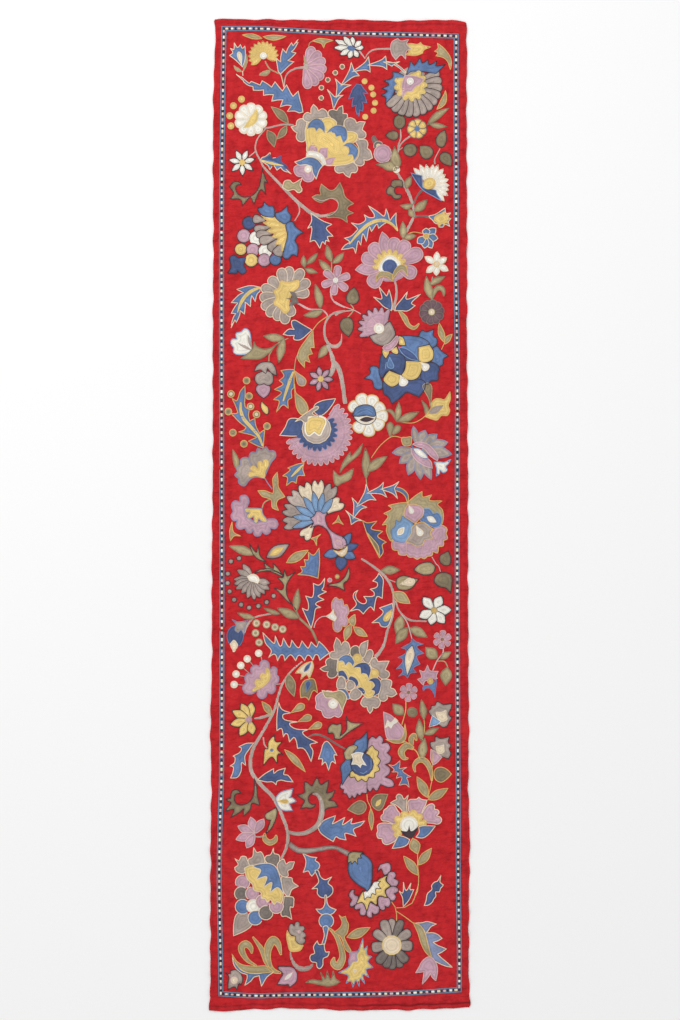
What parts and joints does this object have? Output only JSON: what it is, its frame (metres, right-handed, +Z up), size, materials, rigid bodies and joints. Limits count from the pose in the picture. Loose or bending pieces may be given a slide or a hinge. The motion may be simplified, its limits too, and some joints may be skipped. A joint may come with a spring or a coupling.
{
  "type": "suzani embroidered textile",
  "caption": "Long hemmed table runner or wall panel of red cloth with a border band and dense flower embroidery, laid out flat.",
  "frame": {"origin": "on the surface that the cloth lies on, under the middle of its outline box", "axes": "+X across the cloth, towards the picture's right; +Y along its length, towards the picture's top; +Z up, out of the embroidered face"},
  "size_m": [0.523, 1.9832, 0.0052],
  "materials": {
    "cloth": "matt red silk and cotton ground with soft sheen, chain-stitched in coloured silk thread"
  },
  "bodies": {
    "root": {"embroidered_cloth": "cloth"}
  },
  "joints": []
}
